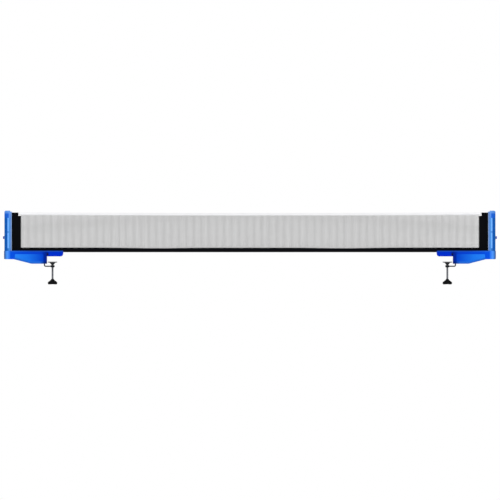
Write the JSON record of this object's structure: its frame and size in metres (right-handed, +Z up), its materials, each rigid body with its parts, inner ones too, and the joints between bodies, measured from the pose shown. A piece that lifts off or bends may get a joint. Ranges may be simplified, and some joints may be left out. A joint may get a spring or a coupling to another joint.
{
  "type": "table tennis net set",
  "caption": "Net strung between two blue posts whose arms clamp to the side edges of a table by screws, with height setting by thumb screws.",
  "frame": {"origin": "middle of the net on the table's playing surface, which both tongues lie on", "axes": "+X runs along the net, +Y across it away from the viewer, +Z up"},
  "size_m": [1.8562, 0.046, 0.2775],
  "materials": {
    "arm_plastic": "moulded, glossy, smooth",
    "clamp_steel": "blackened strip steel, slightly dull",
    "jaw_rubber": "black rubber, fine ribs",
    "black_screw": "blackened steel",
    "plain_screw": "zinc-plated steel",
    "nut_steel": "blackened steel",
    "screw_steel": "zinc-plated thread",
    "grip_plastic": "moulded, fine grain",
    "hub_plastic": "moulded",
    "plate_steel": "pressed plate",
    "facing_rubber": "grey rubber disc",
    "post_paint": "powder coat, satin",
    "cap_plastic": "moulded",
    "foot_plastic": "moulded, light",
    "trim_plastic": "light strip",
    "slider_plastic": "moulded, pale",
    "rod_steel": "drawn rod",
    "height_screw_plastic": "moulded head on a steel thread",
    "washer_steel": "plain washer",
    "black_cloth": "woven polyester, folded and stitched",
    "net_thread": "knitted thread, black",
    "white_tape": "woven cotton tape, folded and stitched",
    "top_cord": "braided cord",
    "bottom_cord": "braided cord"
  },
  "bodies": {
    "frame": {"left_arm_front_shell": "arm_plastic", "left_arm_rear_shell": "arm_plastic", "left_clamp_frame": "clamp_steel", "left_jaw_pad": "jaw_rubber", "left_tongue_screws": "black_screw", "left_shell_screws": "plain_screw", "left_clamp_nut": "nut_steel", "left_post": "post_paint", "left_post_cap": "cap_plastic", "left_post_foot": "foot_plastic", "left_post_trim": "trim_plastic", "left_post_screw": "plain_screw", "right_arm_front_shell": "arm_plastic", "right_arm_rear_shell": "arm_plastic", "right_clamp_frame": "clamp_steel", "right_jaw_pad": "jaw_rubber", "right_tongue_screws": "black_screw", "right_shell_screws": "plain_screw", "right_clamp_nut": "nut_steel", "right_post": "post_paint", "right_post_cap": "cap_plastic", "right_post_foot": "foot_plastic", "right_post_trim": "trim_plastic", "right_post_screw": "plain_screw"},
    "left_pad": {"left_pad_hub": "hub_plastic", "left_pad_plate": "plate_steel", "left_pad_facing": "facing_rubber"},
    "left_screw": {"left_clamp_screw": "screw_steel", "left_wing_grip": "grip_plastic"},
    "right_pad": {"right_pad_hub": "hub_plastic", "right_pad_plate": "plate_steel", "right_pad_facing": "facing_rubber"},
    "right_screw": {"right_clamp_screw": "screw_steel", "right_wing_grip": "grip_plastic"},
    "net": {"left_net_slider": "slider_plastic", "left_side_rod": "rod_steel", "left_sleeve": "black_cloth", "right_net_slider": "slider_plastic", "right_side_rod": "rod_steel", "right_sleeve": "black_cloth", "net_mesh": "net_thread", "top_tape": "white_tape", "bottom_band": "black_cloth", "top_cord": "top_cord", "bottom_cord": "bottom_cord"},
    "left_lock_washer": {"left_height_washer": "washer_steel"},
    "left_lock_screw": {"left_height_screw": "height_screw_plastic"},
    "right_lock_washer": {"right_height_washer": "washer_steel"},
    "right_lock_screw": {"right_height_screw": "height_screw_plastic"}
  },
  "joints": [
    {"name": "left_pad_lift", "type": "slide", "parent": "frame", "child": "left_pad", "axis": [0, 0, 1], "range_m": [-0.0013, 0.018]},
    {"name": "left_screw_turn", "type": "hinge", "parent": "left_pad", "child": "left_screw", "pos_m": [-0.742, 0, -0.06], "axis": [0, 0, 1], "range_deg": [-375, 5187]},
    {"name": "right_pad_lift", "type": "slide", "parent": "frame", "child": "right_pad", "axis": [0, 0, 1], "range_m": [-0.0013, 0.018]},
    {"name": "right_screw_turn", "type": "hinge", "parent": "right_pad", "child": "right_screw", "pos_m": [0.742, 0, -0.06], "axis": [0, 0, 1], "range_deg": [-375, 5187]},
    {"name": "net_height", "type": "slide", "parent": "frame", "child": "net", "axis": [0, 0, 1], "range_m": [-0.0092, 0.0016]},
    {"name": "left_lock_slide", "type": "slide", "parent": "net", "child": "left_lock_washer", "axis": [-1, 0, 0], "range_m": [0, 0.0016]},
    {"name": "left_lock_turn", "type": "hinge", "parent": "left_lock_washer", "child": "left_lock_screw", "pos_m": [-0.923, 0, 0.071], "axis": [-1, 0, 0], "range_deg": [0, 722]},
    {"name": "right_lock_slide", "type": "slide", "parent": "net", "child": "right_lock_washer", "axis": [1, 0, 0], "range_m": [0, 0.0016]},
    {"name": "right_lock_turn", "type": "hinge", "parent": "right_lock_washer", "child": "right_lock_screw", "pos_m": [0.923, 0, 0.071], "axis": [1, 0, 0], "range_deg": [0, 722]}
  ],
  "couplings": [
    {"joint": "left_screw_turn", "follows": "left_pad_lift", "rad_per_m": 5026.5},
    {"joint": "right_screw_turn", "follows": "right_pad_lift", "rad_per_m": 5026.5},
    {"joint": "left_lock_turn", "follows": "left_lock_slide", "rad_per_m": 7854},
    {"joint": "right_lock_turn", "follows": "right_lock_slide", "rad_per_m": 7854}
  ]
}
